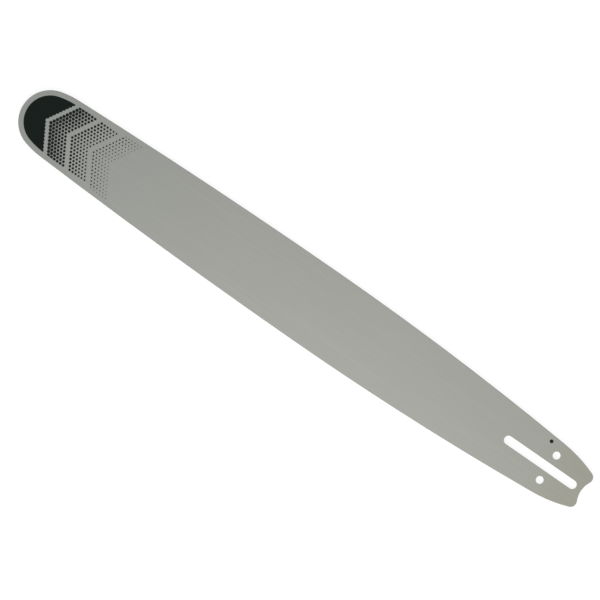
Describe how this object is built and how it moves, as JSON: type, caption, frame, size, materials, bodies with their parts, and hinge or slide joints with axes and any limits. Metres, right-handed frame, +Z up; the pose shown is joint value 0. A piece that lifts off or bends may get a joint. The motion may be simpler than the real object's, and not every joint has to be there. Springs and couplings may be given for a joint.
{
  "type": "chainsaw guide bar",
  "caption": "Flat steel chainsaw guide bar with a solid rounded nose, a chain groove round its edge, and a notched tail with a stud slot, tension-pin holes and oil holes.",
  "frame": {"origin": "middle of the stud slot, on the underside", "axes": "+Y along the bar towards the nose, +Z up through the thickness, +X towards the edge whose oil hole shows on the upper face"},
  "size_m": [0.0838, 0.6986, 0.0048],
  "materials": {
    "painted_steel": "satin grey paint on both faces, bare ground steel on the edge, the groove and the hole walls"
  },
  "bodies": {
    "root": {"guide_bar": "painted_steel"}
  },
  "joints": []
}
